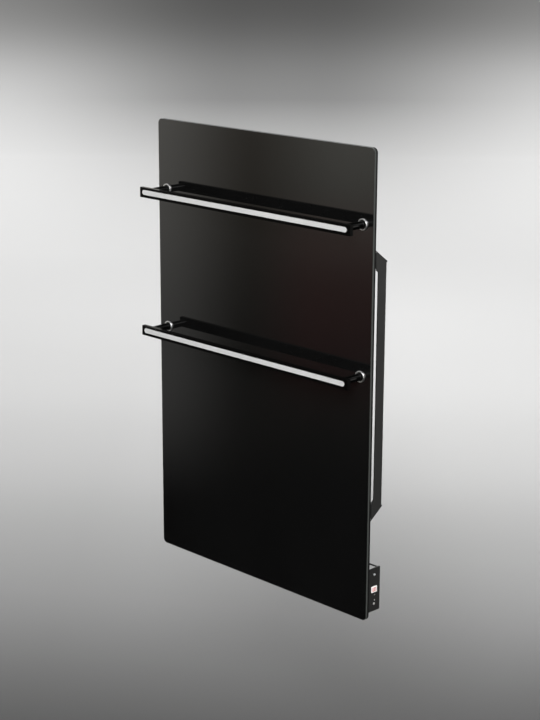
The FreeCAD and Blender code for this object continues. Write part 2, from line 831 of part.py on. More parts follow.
def switch_leads():
    """From each tab round a half turn to the terminal block."""
    top_z, low_z = control_z, pole_heights()[-1]
    radius = (top_z - low_z) / 2
    tab_end = switch_back_x - tab_length
    turn_x = tab_end - switch_lead_straight
    leads = []
    for y in tab_places():
        edges = [Part.makeLine(vec(tab_end, y, top_z), vec(turn_x, y, top_z)),
                 Part.Arc(vec(turn_x, y, top_z), vec(turn_x - radius, y, top_z - radius),
                          vec(turn_x, y, low_z)).toShape(),
                 Part.makeLine(vec(turn_x, y, low_z), vec(block_left_x, y, low_z))]
        leads.append(swept_lead(edges, vec(tab_end, y, top_z), vec(-1, 0, 0)))
    return leads


def pole_heights():
    return [lead_z + i * pole_pitch for i in range(3)]


def block_screw_y():
    return switch_y + block_screw_shift


def block_screw_heights():
    return block_mid_z - block_screw_pitch / 2, block_mid_z + block_screw_pitch / 2


def terminal_block():
    """A three-pole block on the inner face of the end plate, with its screw wells towards the wall."""
    y_range = (switch_y - block_length / 2, switch_y + block_length / 2)
    z_range = (block_mid_z - block_height / 2, block_mid_z + block_height / 2)
    body = block((block_left_x, plate_inner_x), y_range, z_range)
    body = body.makeFillet(block_round, edges_where(body, lambda p: near(p.x, block_left_x)))
    for z in block_screw_heights():
        body = body.cut(rod(block_screw_diameter + 2 * thread_clearance,
                            vec(plate_inner_x - block_screw_length, block_screw_y(), z),
                            vec(plate_inner_x, block_screw_y(), z)))
    for z in pole_heights():
        body = body.cut(rod(pole_screw_diameter + 2 * thread_clearance,
                            vec(pole_x(), y_range[1] - pole_screw_depth, z), vec(pole_x(), y_range[1], z)))
    return body


def pole_x():
    return block_left_x + pole_inset


def terminal_screws():
    """Slotted screws in the block's wells, flush with its face."""
    back = switch_y + block_length / 2
    screws = []
    for z in pole_heights():
        screw = rod(pole_screw_diameter, vec(pole_x(), back - pole_screw_depth, z), vec(pole_x(), back, z))
        slot = block((pole_x() - pole_screw_diameter, pole_x() + pole_screw_diameter),
                     (back - pole_screw_slot, back), (z - pole_screw_slot / 2, z + pole_screw_slot / 2))
        screws.append(screw.cut(slot))
    return screws


def block_screws():
    return [pan_screw(vec(side_x, block_screw_y(), z), vec(1, 0, 0), block_screw_diameter, block_screw_length,
                      block_screw_head_diameter, block_screw_head_height) for z in block_screw_heights()]


def thermal_limiter():
    """A bimetal disc limiter on the tray, with two tabs."""
    x, z = tray_left_x + limiter_from_end, control_z
    seat = foot_front + housing_sheet
    flange = rod(limiter_diameter, vec(x, seat, z), vec(x, seat + limiter_flange, z))
    body = rod(limiter_body_diameter, vec(x, seat, z), vec(x, seat + limiter_height, z))
    tabs = []
    for side in (-1, 1):
        tab_x = x + side * limiter_tab_pitch / 2
        tabs.append(block((tab_x - tab_thickness / 2, tab_x + tab_thickness / 2),
                          (seat + limiter_height - tab_thickness, seat + limiter_height + limiter_tab_length),
                          (z - tab_width / 2, z + tab_width / 2)))
    return body.multiFuse([flange] + tabs).removeSplitter()


def save(name, shape):
    """Write one node: a solid, or a group of separate solids."""
    if isinstance(shape, list):
        shape = Part.makeCompound(shape)
    if not shape.isValid():
        raise ValueError(f"{name} is not a valid shape")
    shape.exportStep(f"parts/{name}.step")


def build():
    right_bracket = wall_bracket()
    nodes = {
        "front_glass": front_glass(), "rear_glass": rear_glass(), "edge_seal": edge_seal(),
        "heating_film": heating_film(), "copper_busbars": copper_busbars(), "lead_plugs": lead_plugs(),
        "film_leads": film_leads(), "rail_screws": rail_screws(), "front_gaskets": front_gaskets(),
        "glass_bushes": glass_bushes(), "rear_gaskets": rear_gaskets(), "rear_washers": rear_washers(),
        "arm_bolts": arm_bolts(), "bracket_right": right_bracket, "bracket_left": mirrored(right_bracket),
        "bracket_pads": bracket_pads(), "control_housing": control_housing(), "housing_pads": housing_pads(),
        "end_plate": end_plate(), "end_plate_screws": end_plate_screws(), "tie_bar": tie_bar(),
        "rear_cover": rear_cover(), "rear_cover_screws": rear_cover_screws(),
        "cable_grommet": cable_grommet(), "switch_body": switch_body(), "switch_rocker": switch_rocker(),
        "switch_tabs": switch_tabs(), "switch_leads": switch_leads(), "terminal_block": terminal_block(),
        "terminal_screws": terminal_screws(), "block_screws": block_screws(),
        "thermal_limiter": thermal_limiter(),
    }
    for level, bar_z in (("upper", upper_bar_z), ("lower", lower_bar_z)):
        nodes[f"{level}_rail_bar"] = rail_bar(bar_z)
        nodes[f"{level}_inlay"] = inlay(bar_z)
    for place, x, z in arm_places():
        nodes[f"arm_{place}"] = arm(x, z)
        nodes[f"ring_{place}"] = ring(x, z)
    os.makedirs("parts", exist_ok=True)
    for name, shape in nodes.items():
        save(name, shape)


build()
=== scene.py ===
"""Looks of a wall-hung infrared glass heater with two towel rails.

Everything is in metres in the heater's own frame: +Z up, glass facing -Y, wall plane y = 0.
"""

import json
import math

import bpy
import numpy as np
from mathutils import Matrix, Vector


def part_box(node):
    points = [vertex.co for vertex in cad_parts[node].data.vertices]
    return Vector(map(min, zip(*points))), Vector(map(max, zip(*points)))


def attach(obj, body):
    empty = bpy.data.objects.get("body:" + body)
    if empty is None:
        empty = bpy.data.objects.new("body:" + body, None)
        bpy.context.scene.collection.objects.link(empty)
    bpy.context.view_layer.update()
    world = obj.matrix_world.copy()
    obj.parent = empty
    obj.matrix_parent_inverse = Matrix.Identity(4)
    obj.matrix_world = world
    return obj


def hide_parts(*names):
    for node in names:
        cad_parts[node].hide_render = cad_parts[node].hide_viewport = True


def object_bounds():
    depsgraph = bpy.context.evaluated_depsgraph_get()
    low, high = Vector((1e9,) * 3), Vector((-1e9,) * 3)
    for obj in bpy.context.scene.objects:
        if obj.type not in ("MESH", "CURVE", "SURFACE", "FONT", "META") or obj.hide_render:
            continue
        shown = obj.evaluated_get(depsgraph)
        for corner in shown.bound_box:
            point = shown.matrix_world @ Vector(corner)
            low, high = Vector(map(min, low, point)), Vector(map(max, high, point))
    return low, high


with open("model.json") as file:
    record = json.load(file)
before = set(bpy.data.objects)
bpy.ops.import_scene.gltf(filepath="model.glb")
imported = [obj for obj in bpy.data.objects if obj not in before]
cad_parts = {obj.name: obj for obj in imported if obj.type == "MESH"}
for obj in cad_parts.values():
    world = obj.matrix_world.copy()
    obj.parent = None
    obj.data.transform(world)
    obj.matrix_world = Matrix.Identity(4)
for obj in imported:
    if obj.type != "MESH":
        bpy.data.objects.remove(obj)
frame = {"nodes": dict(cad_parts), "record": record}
cad_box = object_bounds()

MM = 0.001

# Noise: most of its values lie between these two
NOISE_LOW = 0.3
NOISE_HIGH = 0.7

# Plastics: the mottling is this many times as coarse as the texture
MOTTLE_COARSENESS = 12

# Glass panes
PANE_CORNER = 10.0 * MM
GROUND_EDGE = 0.5 * MM
GROUND_ROUGHNESS = 0.6
GLASS_IOR = 1.52

# Screws: the head's measures are shares of its radius or height, and a way turns the recess about the axis
SCREW_TURNS = 72
HEAD_ROWS = 34
HEAD_MIDDLE = 0.03
DOME_FALL = 0.45
SKIRT_TOP = 0.5
SKIRT_ROWS = 3
RECESS_WIDTH = 0.2
RECESS_REACH = 0.62
RECESS_WALL = 0.08
RECESS_DEPTH = 0.55
THREAD_PITCH = 0.5 * MM
THREAD_DEPTH = 0.14 * MM
THREAD_ROWS = 8
SMALL_SHANK_RADIUS = 1.5 * MM
BLOCK_SHANK_RADIUS = 1.0 * MM
COVER_HEAD_RADIUS = 2.6 * MM
COVER_SCREW_INSET = 30.0 * MM
PLATE_RECESS_WAY = (0, 0.83, 0.56)
BLOCK_RECESS_WAY = (0, 0.6, 0.8)
COVER_RECESS_WAY = (0.9, 0, 0.44)

# Sleeves on the switch's tabs: the neck and the end round are shares of the sleeve's length
TAB_THICKNESS = 0.8 * MM
SLEEVE_LENGTH = 11.0 * MM
SLEEVE_WALL = 0.7 * MM
SLEEVE_INSET = 1.5 * MM
SLEEVE_TURNS = 40
SLEEVE_ROWS = 24
NECK_START = 0.45
NECK_LENGTH = 0.4
END_ROUND_START = 0.46
END_ROUND_LENGTH = 0.045
END_ROUND_LEAST = 0.05

# Rocker and its marks
ROCKER_CROWN = 2.9 * MM
ROCKER_SWING = math.radians(10)
PIVOT_DEPTH = 2.6 * MM
MARK_HEIGHT = 0.12 * MM
MARK_SIZE = 2.8 * MM
MARK_STROKE = 0.55 * MM
MARK_SHIFT = 2.6 * MM
MARK_TURNS = 64
RING_ROWS = 16
BAR_ROWS = 14
BAR_MIDDLE = 0.05
BAR_FLATNESS = 8

# A superellipse of this power is a rounded rectangle
SQUARE_POWER = 0.5

# Floor: metres along the view from the heater, or across it; an aside is metres across per metre of view
FLOOR_DROP = 0.55
FLOOR_HALF = 60.0
FLOOR_LEVEL = cad_box[0].z - FLOOR_DROP
AWAY = (-0.7071, 0.7071, 0)
ACROSS = (0.7071, 0.7071, 0)
CAMERA_DISTANCE = 3.34
LEAST_DISTANCE = 0.5
TONE_START = -5
TONE_END = 10
# Painted light and shade by metres away: a painted shadow darkest at the heater, paler further off
PAINTED_LIGHT_TONES = ((-5, 0.36), (-2, 0.3), (0, 0.08), (1, 0.25), (2, 0.46), (3, 0.59), (4, 0.62), (6, 0.62), (9.5, 0.72))
# Painted light: the floor near the heater is painted paler to the right
LIGHT_LEAN = 0.11
LIGHT_LEAN_HALF_WIDTH = 0.6
LIGHT_LEAN_FADE = (2, 6)
# Painted shade: a soft fan darkens the far middle of the floor
SHADE_FAN_DARKEST = 0.63
SHADE_FAN_DEPTH = (4.6, 13.6)
SHADE_FAN_ASIDE = (0.02, 0.2)
# Painted shade wide of the fan: darker towards the front
SIDE_SHADE_TONES = (0.36, 0.62)
SIDE_DEPTH = (-3, 3)
SIDE_ASIDE = (0.17, 0.6)

# Backdrop: glowing tones at shares of its height, painted light that darkens towards the floor
BACKDROP_RADIUS = 45.0
BACKDROP_HEIGHT = 30.0
BACKDROP_TURNS = 96
BACKDROP_GLOW_TONES = ((0, 0.2), (0.3, 0.5), (1, 0.8))

# Surroundings: angles run from -Y towards -X and heights up from the horizon, both in degrees
WHITE = (1.0, 1.0, 1.0)
WARM = (1.0, 0.9, 0.75)
LOW_DOWN = (25, 2)

# Glows: colour, strength, and where each mask by angle and then by height goes from 0 to 1
GLOWS = (
    (WARM, 0.30, (), ((-16, -6), LOW_DOWN)),
    (WARM, 0.045, (), ((-20, -16), LOW_DOWN)),
    ((1.0, 1.0, 0.98), 0.38, ((45.8, 49.6),), ((-20.3, -15.5), LOW_DOWN)),
    ((1.0, 1.0, 0.95), 0.37, ((45.8, 49.6),), ((-17, -6), LOW_DOWN)),
    ((0.98, 1.0, 0.92), 0.52, ((46.2, 42.2),), ((-13, -7.5), LOW_DOWN)),
    ((1.0, 0.08, 0.12), 0.11, ((46.3, 43.5), (30, 40)), ((-18, -13), (-9, -11.5))),
    (WHITE, 1.0, ((-60, -90),), ((-24, -6), LOW_DOWN)),
    (WHITE, 1.0, ((100, 130),), ((-30, -8), (6, -2))),
    (WHITE, 0.25, (), ((-2, 20),)),
)

# Lights: name, spot, target, side in metres and power in watts
LIGHTS = (
    ("key", (3.2, -4.2, 3.0), (0, 0, 0), 2.2, 300),
    ("top", (-0.6, 0.3, 3.6), (0, 0, 0), 2.6, 40),
    ("near_wash", (-4.2, 4.2, 5.0), (-4.2, 4.201, -1), 5.0, 280),
    ("far_wash", (-9.2, 9.2, 8.0), (-9.2, 9.201, -1), 7.0, 560),
    ("front_wash", (5.5, -5.5, 6.0), (5.5, -5.499, -1), 5.0, 240),
)

# Camera, set to the photograph's view: place in metres, turns in degrees, lens in millimetres
CAMERA_PLACE = (2.36735, -2.35341, 0.89825)
CAMERA_YAW = 45.31
CAMERA_PITCH = 15.148
CAMERA_ROLL = 0.228
CAMERA_LENS = 85.32


# Node helpers


def new_finish(name):
    """An empty material with its node tree and its shader."""
    material = bpy.data.materials.new(name)
    material.use_nodes = True
    tree = material.node_tree
    return material, tree, tree.nodes["Principled BSDF"]


def put(tree, kind, inputs=None, **settings):
    """Add a node, set its properties, and set or link its inputs."""
    node = tree.nodes.new(kind)
    for key, value in settings.items():
        setattr(node, key, value)
    for key, value in (inputs or {}).items():
        if isinstance(value, bpy.types.NodeSocket):
            tree.links.new(value, node.inputs[key])
        else:
            node.inputs[key].default_value = value
    return node


def set_shader(tree, shader, **values):
    """Set or link the shader's sockets; words in a keyword stand for a socket's name."""
    for key, value in values.items():
        socket = shader.inputs[key.replace("_", " ").title().replace("Ior", "IOR")]
        if isinstance(value, bpy.types.NodeSocket):
            tree.links.new(value, socket)
        else:
            socket.default_value = value


def calc(tree, operation, first, second=0.0):
    """One step of arithmetic on two values."""
    return put(tree, "ShaderNodeMath", {0: first, 1: second}, operation=operation).outputs[0]


def vector_calc(tree, operation, first, second=(0, 0, 0)):
    """One step of arithmetic on two vectors; the node's outputs are a vector and a value."""
    return put(tree, "ShaderNodeVectorMath", {0: first, 1: second}, operation=operation).outputs


def mix_colours(tree, share, first, second):
    """The first colour where share is 0, and the second where it is 1."""
    return put(tree, "ShaderNodeMix", {0: share, 6: first, 7: second}, data_type="RGBA").outputs[2]


def place(tree):
    """Object coordinates, which are metres in the heater's frame."""
    return put(tree, "ShaderNodeTexCoord").outputs["Object"]


def grain(tree, scale, stretch=(1, 1, 1), detail=4.0):
    """Noise between 0 and 1 with scale cells per metre, stretched along the axes."""
    mapped = put(tree, "ShaderNodeMapping", {"Vector": place(tree), "Scale": stretch}).outputs[0]
    noise = put(tree, "ShaderNodeTexNoise", {"Vector": mapped, "Scale": scale, "Detail": detail})
    return noise.outputs["Fac"]


def spread(tree, value, low, high, start=NOISE_LOW, end=NOISE_HIGH, curve="LINEAR"):
    """Carry a value from start..end to low..high."""
    inputs = {"Value": value, "From Min": start, "From Max": end, "To Min": low, "To Max": high}
    return put(tree, "ShaderNodeMapRange", inputs, interpolation_type=curve).outputs[0]


def soft_spread(tree, value, low, high, start, end):
    """Carry a value from start..end to low..high along an S curve."""
    return spread(tree, value, low, high, start, end, "SMOOTHSTEP")


def shades(tree, value, *stops, interpolation="LINEAR"):
    """A colour ramp through (place, colour) stops."""
    ramp = put(tree, "ShaderNodeValToRGB", {"Fac": value})
    ramp.color_ramp.interpolation = interpolation
    elements = ramp.color_ramp.elements
    while len(elements) < len(stops):
        elements.new(0.5)
    for element, (position, colour) in zip(elements, stops):
        element.position = position
        element.color = (*colour, 1)
    return ramp.outputs["Color"]


def tint(tree, value, low, high, start=NOISE_LOW, end=NOISE_HIGH):
    """A colour that goes from low to high as a value goes from start to end."""
    return shades(tree, value, (start, low), (end, high))


def relief(tree, height, depth, strength):
    """A bump whose full height is depth metres."""
    bump = put(tree, "ShaderNodeBump", {"Height": height, "Distance": depth, "Strength": strength})
    return bump.outputs["Normal"]


def grey(tone):
    """A colour with three equal parts."""
    return (tone, tone, tone)


# Finishes


def pane_finish(name, node, low, high, edge_shade, rough, gloss=0.5):
    """Black-backed float glass: a near-mirror face with faint wiping marks, and a ground edge.

    A point's reach is its distance past the rectangle that joins the centres of the corner arcs.
    It equals the corner's radius on the pane's outline, and the ground edge begins a little short of that.
    """
    material, tree, shader = new_finish(name)
    first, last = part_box(node)
    middle = tuple((first + last) / 2)
    inner = ((last.x - first.x) / 2 - PANE_CORNER, 0, (last.z - first.z) / 2 - PANE_CORNER)
    offset = vector_calc(tree, "SUBTRACT", place(tree), middle)[0]
    flat = vector_calc(tree, "MULTIPLY", offset, (1, 0, 1))[0]
    size = vector_calc(tree, "ABSOLUTE", flat)[0]
    past = vector_calc(tree, "SUBTRACT", size, inner)[0]
    beyond = vector_calc(tree, "MAXIMUM", past)[0]
    reach = vector_calc(tree, "LENGTH", beyond)["Value"]
    edge = spread(tree, reach, 0, 1, PANE_CORNER - GROUND_EDGE, PANE_CORNER - GROUND_EDGE / 2)
    wiped = grain(tree, scale=5, stretch=(1, 1, 0.35), detail=6)
    face = tint(tree, wiped, low, high, start=0.35, end=0.65)
    haze = spread(tree, wiped, *rough)
    ground = put(tree, "ShaderNodeMix", {0: edge, 2: haze, 3: GROUND_ROUGHNESS}).outputs[0]
    waves = relief(tree, grain(tree, scale=9, detail=1), depth=2e-5, strength=0.25)
    set_shader(tree, shader, base_color=mix_colours(tree, edge, face, (*edge_shade, 1)), roughness=ground,
               ior=GLASS_IOR, specular_ior_level=gloss, normal=waves)
    return material


def coat_finish(name, low, high, rough, peel_scale, peel_depth, gloss):
    """Black coating on metal: slightly uneven gloss over a fine orange peel."""
    material, tree, shader = new_finish(name)
    cloud = grain(tree, scale=30)
    peel = relief(tree, grain(tree, peel_scale, detail=2), peel_depth, strength=0.5)
    set_shader(tree, shader, base_color=tint(tree, cloud, low, high),
               roughness=spread(tree, cloud, *rough), specular_ior_level=gloss, normal=peel)
    return material


def metal_finish(name, low, high, rough, scale, depth, stretch=(1, 1, 1), metallic=1.0):
    """Bare or plated metal: tone, gloss and fine marks that run with the way it was worked."""
    material, tree, shader = new_finish(name)
    marks = grain(tree, scale, stretch, detail=6)
    set_shader(tree, shader, base_color=tint(tree, marks, low, high), metallic=metallic,
               roughness=spread(tree, marks, *rough), normal=relief(tree, marks, depth, strength=0.4))
    return material


def plastic_finish(name, low, high, rough, scale, depth, translucency=0.0):
    """Moulded plastic or rubber: faint mottling over a fine spark-eroded texture."""
    material, tree, shader = new_finish(name)
    mottle = grain(tree, scale / MOTTLE_COARSENESS)
    texture = relief(tree, grain(tree, scale, detail=2), depth, strength=0.5)
    set_shader(tree, shader, base_color=tint(tree, mottle, low, high),
               roughness=spread(tree, mottle, *rough), normal=texture)
    if translucency:
        set_shader(tree, shader, subsurface_weight=translucency, subsurface_scale=1 * MM)
    return material


def film_finish(name, carrier, ink, rough):
    """Carbon-printed film: dark printed strips across a slightly paler carrier."""
    material, tree, shader = new_finish(name)
    strips = put(tree, "ShaderNodeTexWave", {"Vector": place(tree), "Scale": 12.0, "Distortion": 0.2},
                 bands_direction="Z").outputs["Fac"]
    set_shader(tree, shader, base_color=tint(tree, strips, carrier, ink, start=0.35, end=0.5),
               roughness=spread(tree, grain(tree, scale=200), *rough),
               normal=relief(tree, strips, depth=2e-5, strength=0.3))
    return material


def make_finishes():
    """All finishes by name: one for each material slot of the record, and the arms' own coat."""
    looks = {
        "black_glass": (pane_finish, dict(
            node="front_glass", low=grey(0.0037), high=grey(0.0047), edge_shade=(0.036, 0.0405, 0.038),
            rough=(0.012, 0.0264))),
        "rear_glass": (pane_finish, dict(
            node="rear_glass", low=grey(0.004), high=grey(0.006), edge_shade=grey(0.003),
            rough=(0.03, 0.066), gloss=0.1)),
        "sealant": (plastic_finish, dict(
            low=grey(0.010), high=grey(0.016), rough=(0.4, 0.55), scale=900, depth=3e-5)),
        "heating_film": (film_finish, dict(
            carrier=(0.05, 0.045, 0.04), ink=(0.014, 0.013, 0.013), rough=(0.45, 0.6))),
        "copper": (metal_finish, dict(
            low=(0.68, 0.38, 0.24), high=(0.78, 0.48, 0.32), rough=(0.25, 0.4), scale=120, depth=1e-5,
            stretch=(1, 1, 0.05))),
        "lead_insulation": (plastic_finish, dict(
            low=(0.72, 0.70, 0.66), high=(0.79, 0.77, 0.74), rough=(0.38, 0.5), scale=1500, depth=1e-5)),
        "black_bar": (coat_finish, dict(
            low=grey(0.0010), high=grey(0.0018), rough=(0.15, 0.23), peel_scale=900, peel_depth=6e-6,
            gloss=0.03)),
        "inlay": (metal_finish, dict(
            low=(0.69, 0.70, 0.71), high=(0.75, 0.75, 0.76), rough=(0.5, 0.62), scale=700, depth=4e-6,
            stretch=(0.02, 1, 1), metallic=0.4)),
        "chrome": (metal_finish, dict(
            low=(0.82, 0.82, 0.83), high=(0.86, 0.86, 0.87), rough=(0.34, 0.42), scale=60, depth=1e-6)),
        "zinc_steel": (metal_finish, dict(
            low=(0.70, 0.71, 0.72), high=grey(0.80), rough=(0.24, 0.38), scale=400, depth=4e-6)),
        "black_sheet": (coat_finish, dict(
            low=(0.003, 0.003, 0.0032), high=(0.005, 0.005, 0.0053), rough=(0.42, 0.55), peel_scale=1300,
            peel_depth=3e-5, gloss=0.4)),
        "nylon": (plastic_finish, dict(
            low=(0.78, 0.77, 0.72), high=(0.84, 0.83, 0.79), rough=(0.4, 0.5), scale=1600, depth=1e-5,
            translucency=0.1)),
        "switch_white": (plastic_finish, dict(
            low=(0.93, 0.91, 0.90), high=(0.97, 0.95, 0.94), rough=(0.28, 0.38), scale=1800, depth=6e-6)),
        "switch_red": (plastic_finish, dict(
            low=(0.82, 0.47, 0.46), high=(0.86, 0.50, 0.49), rough=(0.22, 0.32), scale=1800, depth=6e-6)),
        "brass": (metal_finish, dict(
            low=(0.72, 0.55, 0.27), high=(0.82, 0.66, 0.36), rough=(0.22, 0.36), scale=300, depth=4e-6,
            stretch=(0.1, 1, 1))),
        "black_screw": (metal_finish, dict(
            low=grey(0.28), high=grey(0.36), rough=(0.3, 0.42), scale=500, depth=4e-6)),
        "arm_gloss": (coat_finish, dict(
            low=grey(0.0010), high=grey(0.0018), rough=(0.1, 0.16), peel_scale=900, peel_depth=3e-6,
            gloss=0.12)),
    }
    return {name: make(name, **look) for name, (make, look) in looks.items()}


def dress_nodes():
    """Give every solid the finish that its record names; the arms' coat is glossier than the bars'."""
    for part in frame["record"]["subparts"]:
        slot = part["material_slot"]
        if slot == "black_bar" and part["node"].startswith("arm_"):
            slot = "arm_gloss"
        mesh = frame["nodes"][part["node"]].data
        mesh.materials.clear()
        mesh.materials.append(finishes[slot])


# Detail pieces


def add_piece(name, points, faces, slot, body):
    """Put points and faces into a smooth mesh, give it the slot's finish and let it ride on a body."""
    mesh = bpy.data.meshes.new(name)
    mesh.from_pydata(points.tolist(), [], faces)
    mesh.polygons.foreach_set("use_smooth", np.full(len(mesh.polygons), True))
    mesh.materials.append(finishes[slot])
    piece = bpy.data.objects.new(name, mesh)
    bpy.context.scene.collection.objects.link(piece)
    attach(piece, body)
    return piece


def full_turn(count):
    """Angles spaced evenly round a circle."""
    return np.linspace(0, 2 * math.pi, count, endpoint=False)


def smooth_step(value):
    """0 below 0, 1 above 1 and an S curve between."""
    t = np.clip(value, 0, 1)
    return t * t * (3 - 2 * t)


def superellipse(turn, power):
    """Cosine and sine of a turn, raised to a power with their signs kept; power 1 gives a circle."""
    cos, sin = np.cos(turn), np.sin(turn)
    return np.sign(cos) * np.abs(cos) ** power, np.sign(sin) * np.abs(sin) ** power


def closed_tube(rings, first_pole, last_pole, start):
    """Points and faces of rings of points, shape (rows, turns, 3), closed by a pole at each end.

    Row i and row i + 1 are joined by quads round the turn, and each pole by a fan of triangles.
    Faces count their points from start.
    """
    rows, turns, _ = rings.shape
    points = np.concatenate([rings.reshape(-1, 3), first_pole[None], last_pole[None]])
    i, j = np.meshgrid(np.arange(rows - 1), np.arange(turns), indexing="ij")
    on = (j + 1) % turns
    quads = np.stack([i * turns + j, (i + 1) * turns + j, (i + 1) * turns + on, i * turns + on], -1)
    turn = np.arange(turns)
    after = (turn + 1) % turns
    near_fan = np.stack([np.full(turns, rows * turns), turn, after], -1)
    last = (rows - 1) * turns
    far_fan = np.stack([np.full(turns, rows * turns + 1), last + after, last + turn], -1)
    faces = [(group + start).tolist() for group in (quads.reshape(-1, 4), near_fan, far_fan)]
    return points, sum(faces, [])


def closed_ring(rings):
    """Points and faces of rings of points, shape (rows, turns, 3), whose last row meets the first."""
    rows, turns, _ = rings.shape
    i, j = np.meshgrid(np.arange(rows), np.arange(turns), indexing="ij")
    down, on = (i + 1) % rows, (j + 1) % turns
    quads = np.stack([i * turns + j, down * turns + j, down * turns + on, i * turns + on], -1)
    return rings.reshape(-1, 3), quads.reshape(-1, 4).tolist()


def joined_tubes(tubes):
    """Points and faces of several closed tubes, each given as rings and its two poles."""
    points, faces = [], []
    for rings, first_pole, last_pole in tubes:
        more, joined = closed_tube(rings, first_pole, last_pole, sum(len(p) for p in points))
        points.append(more)
        faces += joined
    return np.concatenate(points), faces


def screw_tube(seat, out, side, head, shank):
    """A pan-head screw as rings about its axis, from the middle of its head to its tip, and its poles.

    The head's top is a quartic dome, lowered by a cross: two bars at right angles with soft walls.
    The shank's radius rises and falls by half the thread's depth as a helix of the thread's pitch.
    """
    head_radius, head_height = head
    shank_radius, length = shank
    turn = full_turn(SCREW_TURNS)
    share = np.linspace(HEAD_MIDDLE, 1, HEAD_ROWS)[:, None]
    head_rings = head_radius * share * np.ones_like(turn)
    across, along = head_rings * np.cos(turn), head_rings * np.sin(turn)
    half, reach = RECESS_WIDTH * head_radius / 2, RECESS_REACH * head_radius
    wall = RECESS_WALL * head_radius

    def bar(width_way, length_way):
        """1 inside a bar of the recess, 0 outside, and an S curve across its wall."""
        inside = smooth_step((half - np.abs(width_way)) / wall + 0.5)
        return inside * smooth_step((reach - np.abs(length_way)) / wall)

    cross = np.maximum(bar(across, along), bar(along, across))
    dome_height = head_height * (1 - DOME_FALL * share ** 4) - RECESS_DEPTH * head_height * cross
    skirt_height = np.linspace(SKIRT_TOP, 0, SKIRT_ROWS)[:, None] * head_height * np.ones_like(turn)
    skirt_rings = np.full_like(skirt_height, head_radius)
    rows = int(length / THREAD_PITCH) * THREAD_ROWS
    depth = np.linspace(0, length, rows)[:, None] * np.ones_like(turn)
    thread = THREAD_DEPTH / 2 * np.cos(2 * math.pi * depth / THREAD_PITCH - turn)
    fade = smooth_step((length - depth) / THREAD_PITCH / 2)
    shank_rings = shank_radius - THREAD_DEPTH / 2 + thread * fade
    radius = np.concatenate([head_rings, skirt_rings, shank_rings])
    height = np.concatenate([dome_height, skirt_height, -depth])
    up = np.cross(out, side)
    rings = (seat + height[..., None] * out + (radius * np.cos(turn))[..., None] * side
             + (radius * np.sin(turn))[..., None] * up)
    return rings, seat + out * head_height * (1 - RECESS_DEPTH), seat - out * length


def add_screws(name, node, seats, out, side, head, shank, slot):
    """One piece with a screw at each seat, in place of the node's plain ones."""
    out, side = np.array(out, float), np.array(side, float)
    points, faces = joined_tubes([screw_tube(np.array(seat), out, side, head, shank) for seat in seats])
    piece = add_piece(name, points, faces, slot, "heater")
    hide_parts(node)


def make_screws():
    """The screws of the end plate, the terminal block and the rear cover, with recesses and threads."""
    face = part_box("end_plate")[1].x
    side_screws = (
        ("plate_screws", "end_plate_screws", PLATE_RECESS_WAY, SMALL_SHANK_RADIUS, "zinc_steel"),
        ("terminal_fixings", "block_screws", BLOCK_RECESS_WAY, BLOCK_SHANK_RADIUS, "black_screw"),
    )
    for name, node, way, shank_radius, slot in side_screws:
        low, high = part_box(node)
        radius, middle = (high.y - low.y) / 2, (low.y + high.y) / 2
        seats = [(face, middle, low.z + radius), (face, middle, high.z - radius)]
        head, shank = (radius, high.x - face), (shank_radius, face - low.x)
        add_screws(name, node, seats, (1, 0, 0), way, head, shank, slot)
    low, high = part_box("rear_cover_screws")
    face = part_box("rear_cover")[1].y
    tray_low, tray_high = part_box("control_housing")
    low_z, high_z = low.z + COVER_HEAD_RADIUS, high.z - COVER_HEAD_RADIUS
    seats = [(tray_low.x + COVER_SCREW_INSET, face, low_z), (tray_high.x - COVER_SCREW_INSET, face, low_z),
             (low.x + COVER_HEAD_RADIUS, face, high_z)]
    add_screws("cover_screws", "rear_cover_screws", seats, (0, 1, 0), COVER_RECESS_WAY,
               (COVER_HEAD_RADIUS, high.y - face), (SMALL_SHANK_RADIUS, face - low.y), "zinc_steel")


def make_sleeves():
    """Insulating sleeves on the switch's two tabs.

    Each is a superellipse carried along X: as wide as the tab at one end, drawn in to the lead at the other.
    """
    low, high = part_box("switch_tabs")
    lead_low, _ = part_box("switch_leads")
    tab_middles = (low.y + TAB_THICKNESS / 2, high.y - TAB_THICKNESS / 2)
    lead_size = tab_middles[0] - lead_low.y + SLEEVE_WALL / 2
    turn = full_turn(SLEEVE_TURNS)
    along = np.linspace(0, 1, SLEEVE_ROWS)[:, None]
    neck = smooth_step((along - NECK_START) / NECK_LENGTH)
    half_y = TAB_THICKNESS / 2 + SLEEVE_WALL
    half_z = (high.z - low.z) / 2 + SLEEVE_WALL
    past_round = np.clip(np.abs(along - 0.5) - END_ROUND_START, 0, 1) / END_ROUND_LENGTH
    end_round = np.sqrt(np.clip(1 - past_round ** 2, END_ROUND_LEAST, 1))
    size_y = (half_y + (lead_size - half_y) * neck) * end_round
    size_z = (half_z + (lead_size - half_z) * neck) * end_round
    wave_y, wave_z = superellipse(turn, SQUARE_POWER + (1 - SQUARE_POWER) * neck)
    x = high.x - SLEEVE_INSET - SLEEVE_LENGTH * along * np.ones_like(turn)
    z = (low.z + high.z) / 2 + size_z * wave_z
    tubes = []
    for middle in tab_middles:
        rings = np.stack([x, middle + size_y * wave_y, z], -1)
        tubes.append((rings, rings[0].mean(0), rings[-1].mean(0)))
    points, faces = joined_tubes(tubes)
    add_piece("tab_sleeves", points, faces, "lead_insulation", "heater")


